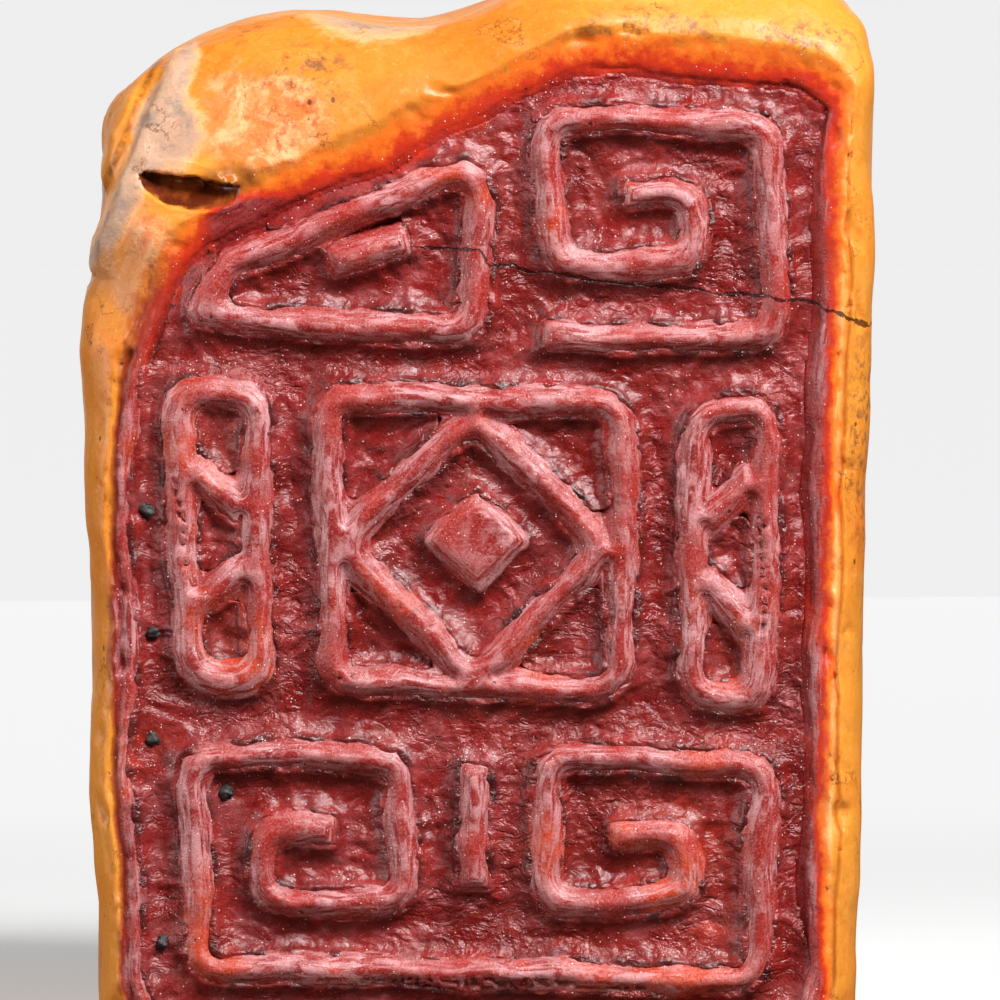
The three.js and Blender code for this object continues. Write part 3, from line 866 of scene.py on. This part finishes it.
def paste_cake(name, node, triangles):
    cake = copied(name, node)
    in_cells(cake, paste_grain)
    grown = cake.modifiers.new("grown", "DISPLACE")
    grown.strength = cake_growth
    grown.mid_level = 0
    settle(cake)
    in_cells(cake, paste_grain)
    points = points_of(cake)
    front = step(paste_base - 0.15, paste_base - 0.65, points[:, 1])
    flat = on_face(points)
    bent = flat + 0.5 * np.stack([rough(flat, 2.2, 27), 0 * flat[:, 1], rough(flat, 2.2, 28)], axis=1)
    stretched = bent * np.array([0.7, 1, 1.1])
    thickness = paste_thickness + 0.13 * rough(flat, 3.4, 21) + 0.08 * ridged(stretched, 1.3, 22)
    pillows = np.abs(rough(bent, 0.9, 23)) + 0.6 * np.abs(rough(bent, 0.4, 24))
    thickness += 0.12 * pillows - 0.03 + 0.015 * rough(bent, 0.2, 37)
    edge_depth, edge_share = edge_slope(flat)
    edge_share *= step(1.3, 0.9, inside_face(flat))
    thickness += up_the_walls * foot_of_wall(into_lines(flat)) * (1 - edge_share)
    thickness = np.clip(thickness, thinnest, thickest)
    below_slope = ground_depth - edge_depth - under_slope
    thickness = np.where(edge_share > 0.3, np.minimum(thickness, below_slope), thickness)
    warped = flat + hand_warp(flat + np.array([0, face_y, 0]))
    points[:, 1] = paste_base + paste_root - front * (paste_root + thickness)
    points[:, [0, 2]] = warped[:, [0, 2]]
    put_points(cake, points)
    thinned(cake, triangles)
    points = points_of(cake)
    put_value(cake, "pasted", stained(points))
    put_value(cake, "beside", foot_of_wall(line_depths(points)))
    put_value(cake, "crack_gap", crack_gap(points))
    put_value(cake, "crack_there", crack_there(points))
    put_points(cake, points / per_metre)
    dress(cake, node, paste_finish)


paste_finish, tree, shader = new_material("dried seal paste")
place = tree.millimetres()
y = tree.parts(place)[1]
coat = tree.use(
    paste_coat,
    Thickness=tree.ramp(y, face_y + 0.3, face_y + 0.85, 0.4, 1),
    Glow=tree.ramp(tree.noise(place, 5, 3), 0.58, 0.75, 0, 0.3),
    Bloom=0.1,
)
# Painted shade: dark red-black in the corners at the feet of the lines' walls, and near-black patches there
# that stand for deep gaps.
wall_foot_shade = tree.math("MULTIPLY", tree.read("beside"), tree.ramp(tree.noise(place, 1.3, 3), 0.4, 0.6, 0.1, 0.75))
body = tree.blend(wall_foot_shade, coat["Color"], colour(40, 4, 4))
shaded_nooks = tree.ramp(tree.noise(place, 2.4, 3), 0.58, 0.7, 0, 0.8)
shaded_nooks = tree.math("MULTIPLY", tree.ramp(tree.read("beside"), 0.3, 1), shaded_nooks)
body = tree.blend(shaded_nooks, body, colour(26, 5, 4))
crack = tree.use(hair_crack, Gap=tree.read("crack_gap"), There=tree.read("crack_there"))["Mask"]
body = tree.blend(tree.math("MULTIPLY", crack, 0.8), body, colour(26, 4, 4))
body = tree.use(oil_stain, Stain=tree.read("pasted"), Stone=colour(236, 150, 60), Paste=body)["Color"]
specks = tree.use(dust, Amount=tree.ramp(tree.noise(place, 3.5, 3), 0.38, 0.65, 0.2, 0.8))
body = tree.blend(tree.math("MULTIPLY", specks["Mask"], 0.85), body, dust_colour)
tree.join(body, shader.inputs["Base Color"])
tree.join(coat["Roughness"], shader.inputs["Roughness"])
shader.inputs["Specular IOR Level"].default_value = 0.42
folds = tree.noise(tree.stretched(place, 1, 1, 1.4, 0.4), 0.9, 4, 0.55, 0.5)
folds = tree.math("ABSOLUTE", tree.math("SUBTRACT", folds, 0.5))
rough_ground = tree.ramp(tree.noise(place, 3, 3), 0.38, 0.62, 0.04, 0.42)
height = tree.math("MULTIPLY_ADD", tree.math("MINIMUM", folds, 0.12), rough_ground, specks["Height"])
height = tree.math("ADD", tree.math("MULTIPLY", coat["Height"], 1.1), height)
height = tree.math("MULTIPLY_ADD", crack, -0.06, height)
tree.raise_by(height, shader)

field_triangles = 150_000
cell_triangles = 16_000
for node in sorted(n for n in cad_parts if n.startswith("paste_")):
    paste_cake("dried_" + node, node, field_triangles if node == "paste_field" else cell_triangles)

# The crumbs of old ink.
# Black ink dried to a crust and broke into crumbs, which stuck in the paste.
ink_finish, tree, shader = new_material("dried ink")
place = tree.millimetres()
speckle = tree.noise(place, 0.15, 4, 0.7)
tree.join(tree.blend(speckle, colour(20, 18, 18), colour(58, 54, 53)), shader.inputs["Base Color"])
tree.join(tree.ramp(speckle, 0.3, 0.7, 0.35, 0.75), shader.inputs["Roughness"])
tree.raise_by(tree.math("MULTIPLY", speckle, 0.05), shader)

crumb_grain = 0.05
flattened = 0.65  # a crumb's thickness after the paste was pressed over it, as a share
for number, node in enumerate(sorted(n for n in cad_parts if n.startswith("ink_crumb_"))):
    crumb = copied("dried_" + node, node)
    in_cells(crumb, crumb_grain)
    smoothed(crumb, 3)
    settle(crumb)
    points = points_of(crumb)
    broken = 0.14 * (rough(points, 0.3, 31 + number) - 0.4) + 0.05 * rough(points, 0.1, 41 + number)
    points = points + normals_of(crumb) * broken[:, None]
    points[:, 1] = points[:, 1].max() + flattened * (points[:, 1] - points[:, 1].max())
    put_points(crumb, (points + hand_warp(points)) / per_metre)
    dress(crumb, node, ink_finish)

# The table and the light.
# A pale plain table and backdrop, one broad soft light from above and in front, and weak ones from the
# left and from behind. The view is nearly level, from so far that the stone's sides hardly show.
pale = (0.8, 0.8, 0.8, 1)
black = (0, 0, 0, 1)
dim = (0.07, 0.045, 0.03, 1)  # the table as the stone's own shine sees it
dim_air = (0.045, 0.035, 0.03, 1)
backdrop_colour = (0.86, 0.86, 0.86, 1)
floor_size = 3.0
floor_mesh = bpy.data.meshes.new("floor")
sheet = bmesh.new()
bmesh.ops.create_grid(sheet, x_segments=1, y_segments=1, size=floor_size / 2)
sheet.to_mesh(floor_mesh)
sheet.free()
floor = bpy.data.objects.new("floor", floor_mesh)
bpy.context.scene.collection.objects.link(floor)
floor_finish, tree, shader = new_material("floor")
place = tree.millimetres()
away = tree.add("ShaderNodeVectorMath", operation="LENGTH")
tree.join(place, away.inputs[0])
far = tree.ramp(away.outputs["Value"], 40, 170, 0.35, 1)
path = tree.add("ShaderNodeLightPath")
seen = path.outputs["Is Camera Ray"]
tree.join(tree.blend(seen, dim, tree.blend(far, pale, black)), shader.inputs["Base Color"])
glow = tree.math("MULTIPLY", far, seen)
tree.join(tree.blend(glow, black, backdrop_colour), shader.inputs["Emission Color"])
shader.inputs["Emission Strength"].default_value = 1
shader.inputs["Roughness"].default_value = 0.9
floor_mesh.materials.append(floor_finish)
floor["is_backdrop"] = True

world = bpy.data.worlds.new("studio")
world.use_nodes = True
bpy.context.scene.world = world
air = Tree(world.node_tree)
backdrop = world.node_tree.nodes["Background"]
path = air.add("ShaderNodeLightPath")
seen = path.outputs["Is Camera Ray"]
air.join(air.blend(seen, dim_air, backdrop_colour), backdrop.inputs["Color"])


def soft_light(name, place, aim, size, strength):
    lamp = bpy.data.lights.new(name, "AREA")
    lamp.shape = "RECTANGLE"
    lamp.size, lamp.size_y = size
    lamp.energy = strength
    light = bpy.data.objects.new(name, lamp)
    light.location = place
    light.rotation_euler = (Vector(aim) - Vector(place)).to_track_quat("-Z", "Y").to_euler()
    bpy.context.scene.collection.objects.link(light)


middle = (0, -0.01, 0.02)
soft_light("light_above", (0.13, -0.19, 0.24), middle, (0.2, 0.1), 2.25)
soft_light("light_left", (-0.34, -0.1, 0.06), middle, (0.25, 0.3), 1.35)
soft_light("light_behind", (-0.05, 0.4, 0.06), middle, (0.4, 0.3), 0.3)

# The photograph's view: the middle of its frame on the face, and the width that it takes in there.
frame_middle = Vector((0.00088, -0.029, 0.02197))
frame_width = 0.0382
view_distance = 0.6
view_height = math.radians(2)
sensor_width = 36
camera = bpy.data.objects.new("camera", bpy.data.cameras.new("camera"))
camera.data.sensor_width = sensor_width
camera.data.lens = sensor_width * view_distance / frame_width
towards = Vector((0, -math.cos(view_height), math.sin(view_height)))
camera.location = frame_middle + towards * view_distance
camera.rotation_euler = (-towards).to_track_quat("-Z", "Y").to_euler()
camera.data.clip_start = 0.01
bpy.context.scene.collection.objects.link(camera)
bpy.context.scene.camera = camera
bpy.context.scene.view_settings.view_transform = "Standard"

low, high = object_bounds()
